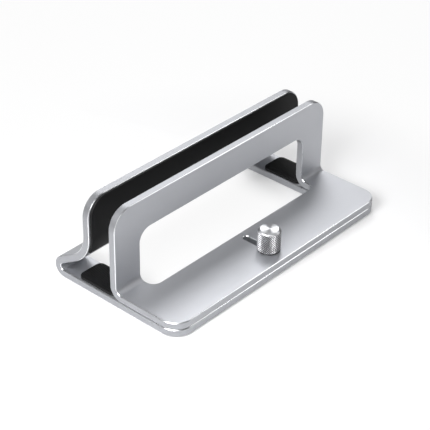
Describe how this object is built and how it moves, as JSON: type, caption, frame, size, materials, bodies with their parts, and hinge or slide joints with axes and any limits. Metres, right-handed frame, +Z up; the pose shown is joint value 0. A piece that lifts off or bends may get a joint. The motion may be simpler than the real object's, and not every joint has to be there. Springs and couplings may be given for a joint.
{
  "type": "vertical laptop stand",
  "caption": "Vertical laptop stand of two bent metal plates; the front one slides to set the gap for the laptop and is clamped by a knurled knob.",
  "frame": {"origin": "on the table under the middle of the stand, the bottom centre of its box", "axes": "+X along both walls to the right, -Y towards the knob, +Z up"},
  "size_m": [0.2, 0.105, 0.068],
  "materials": {
    "satin_aluminium": "fine bead-blasted and clear anodised, with bright diamond-cut edges",
    "turned_aluminium": "turned and diamond knurled",
    "steel": "plain ground steel",
    "black_silicone": "matt with a fine moulded grain",
    "black_nylon": "matt"
  },
  "bodies": {
    "base": {"rear_plate": "satin_aluminium", "rear_wall_pad": "black_silicone", "seat_pad_left": "black_silicone", "seat_pad_right": "black_silicone", "grip_pad_front_left": "black_silicone", "grip_pad_front_right": "black_silicone", "grip_pad_rear_left": "black_silicone", "grip_pad_rear_right": "black_silicone"},
    "slider": {"front_plate": "satin_aluminium", "front_wall_pad": "black_silicone", "guide_pin_left": "steel", "guide_pin_right": "steel"},
    "washer": {"knob_washer": "black_nylon"},
    "knob": {"knob": "turned_aluminium", "knob_stud": "steel"}
  },
  "joints": [
    {"name": "front_slide", "type": "slide", "parent": "base", "child": "slider", "axis": [0, -1, 0], "range_m": [0, 0.019]},
    {"name": "knob_lift", "type": "slide", "parent": "base", "child": "washer", "axis": [0, 0, 1], "range_m": [0, 0.0014]},
    {"name": "knob_turn", "type": "hinge", "parent": "washer", "child": "knob", "pos_m": [0, -0.0389, 0.0119], "axis": [0, 0, 1], "range_deg": [0, 720]}
  ],
  "couplings": [
    {"joint": "knob_lift", "follows": "knob_turn", "m_per_rad": 0.00011141}
  ]
}
